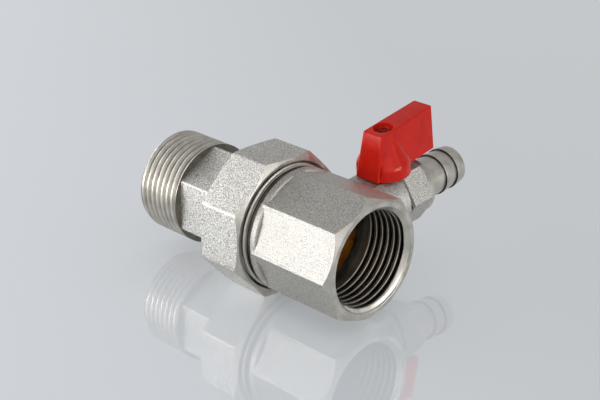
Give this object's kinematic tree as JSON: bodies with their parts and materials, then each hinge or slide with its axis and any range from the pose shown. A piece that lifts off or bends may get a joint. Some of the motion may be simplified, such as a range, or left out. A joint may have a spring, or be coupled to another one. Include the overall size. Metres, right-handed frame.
{
  "type": "union coupling with drain ball valve",
  "caption": "Nickel-plated pipe union with an octagonal body and nut, a self-closing poppet in its tail, and a side drain ball valve with red lever and hose tail.",
  "frame": {"origin": "on the axis of the female mouth where its thread starts, 1.5 mm inside the flat end face", "axes": "+X along the run out of the female mouth, +Y along the drain towards the hose, +Z along the drain stem"},
  "size_m": [0.0872, 0.0876, 0.0496],
  "materials": {
    "plated_brass": "blasted nickel plate",
    "bare_brass": "turned",
    "red_plastic": "glossy moulded",
    "chrome_ball": "polished",
    "white_seat": "turned",
    "black_rubber": "moulded",
    "steel": "drawn"
  },
  "bodies": {
    "fixed_body": {"valve_body": "plated_brass", "pusher_spider": "bare_brass", "ball_seat_inner": "white_seat", "ball_seat_outer": "white_seat", "hose_tail": "plated_brass", "hose_tail_seal": "black_rubber", "union_gasket": "black_rubber"},
    "drain_handle": {"drain_lever": "red_plastic", "lever_screw": "steel", "drain_stem": "bare_brass", "stem_washer": "white_seat", "stem_seal_lower": "black_rubber", "stem_seal_upper": "black_rubber", "drain_ball": "chrome_ball"},
    "tail": {"tail_nipple": "plated_brass", "spring_retainer": "bare_brass", "retainer_ring": "steel", "poppet_spring": "steel"},
    "nut": {"union_nut": "plated_brass"},
    "shutter": {"poppet": "bare_brass", "poppet_seal": "black_rubber"}
  },
  "joints": [
    {"name": "drain_turn", "type": "hinge", "parent": "fixed_body", "child": "drain_handle", "pos_m": [-0.02191, 0.0315, 0], "axis": [0, 0, 1], "range_deg": [-90, 0]},
    {"name": "tail_slide", "type": "slide", "parent": "fixed_body", "child": "tail", "axis": [-1, 0, 0], "range_m": [0, 0.00525]},
    {"name": "nut_turn", "type": "hinge", "parent": "tail", "child": "nut", "pos_m": [-0.0405, 0, 0], "axis": [-1, 0, 0], "range_deg": [0, 1260]},
    {"name": "shutter_slide", "type": "slide", "parent": "tail", "child": "shutter", "axis": [1, 0, 0], "range_m": [0, 0.00525], "deforming": ["poppet_spring"]}
  ],
  "couplings": [
    {"joint": "tail_slide", "follows": "nut_turn", "m_per_rad": 0.00023873},
    {"joint": "shutter_slide", "follows": "nut_turn", "m_per_rad": 0.00023873}
  ]
}
